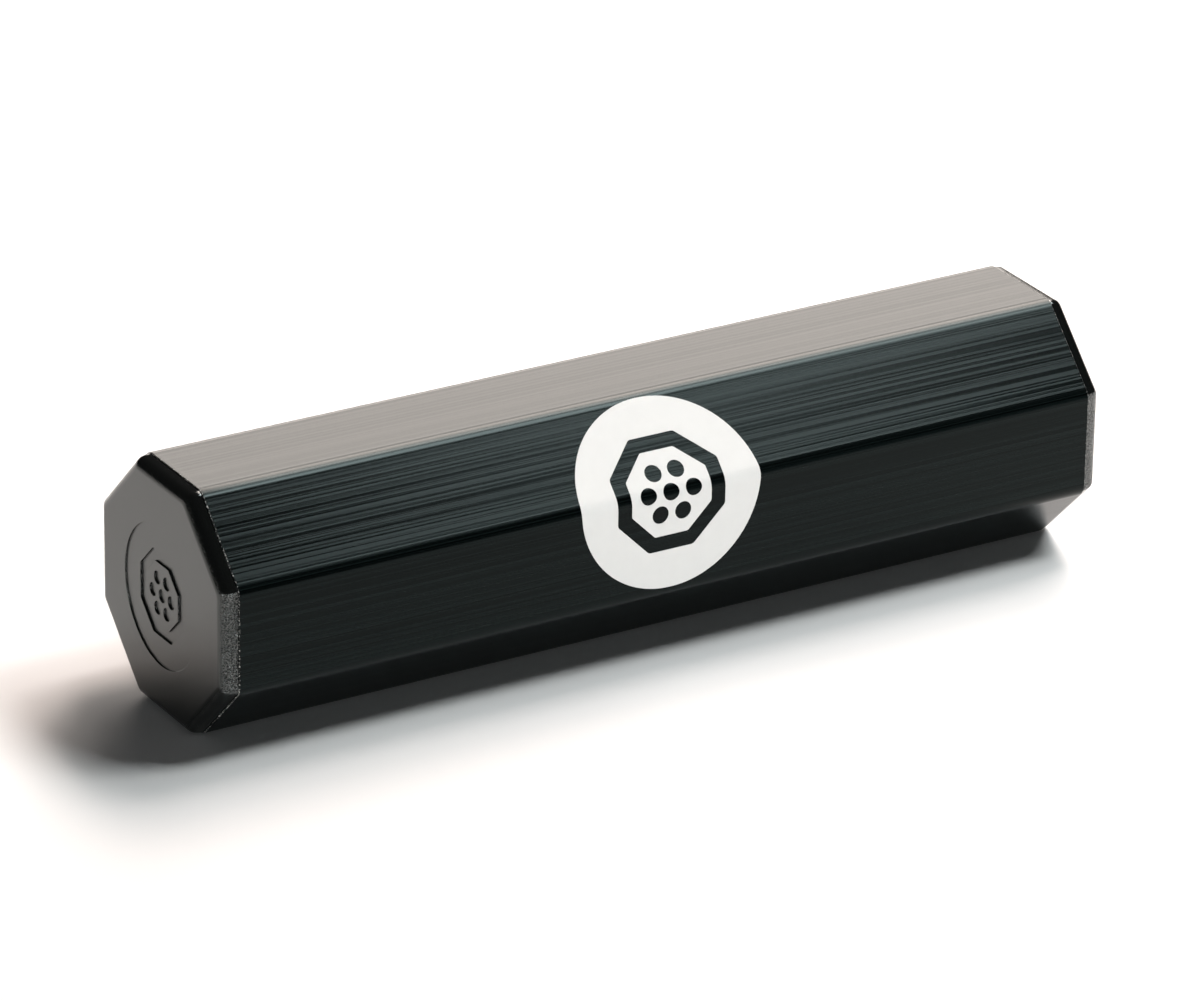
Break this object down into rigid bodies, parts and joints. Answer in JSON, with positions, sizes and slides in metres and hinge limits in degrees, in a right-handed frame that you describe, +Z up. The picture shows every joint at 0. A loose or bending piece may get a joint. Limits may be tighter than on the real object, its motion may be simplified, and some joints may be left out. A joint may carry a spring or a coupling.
{
  "type": "ganza shaker",
  "caption": "Octagonal aluminium tube shaker with moulded plastic end caps, a round white print over one long edge and loose steel shot inside.",
  "frame": {"origin": "middle of the flat that the shaker lies on, at the height of the surface under it", "axes": "+X along the tube, from the near cap to the far cap; +Y to the back, away from the printed side; +Z up"},
  "size_m": [0.1986, 0.0511, 0.051],
  "materials": {
    "anodised_tube": "brushed lengthwise, black anodised",
    "moulded_cap": "satin face, fine moulded grain on the sides",
    "white_ink": "matte screen print",
    "steel_shot": "polished"
  },
  "bodies": {
    "casing": {"tube": "anodised_tube", "near_cap": "moulded_cap", "far_cap": "moulded_cap", "print_disc": "white_ink"},
    "shot_bed": {"shot_floor_1": "steel_shot", "shot_floor_2": "steel_shot", "shot_floor_3": "steel_shot", "shot_floor_4": "steel_shot", "shot_slope_front": "steel_shot", "shot_slope_back": "steel_shot"},
    "shot_crest": {"shot_crest_1": "steel_shot", "shot_crest_2": "steel_shot", "shot_crest_3": "steel_shot"}
  },
  "joints": [
    {"name": "shot_run", "type": "slide", "parent": "casing", "child": "shot_bed", "axis": [1, 0, 0], "range_m": [-0.0255, 0.0255]},
    {"name": "crest_leap", "type": "slide", "parent": "shot_bed", "child": "shot_crest", "axis": [0, 0, 1], "range_m": [0, 0.0388]}
  ]
}
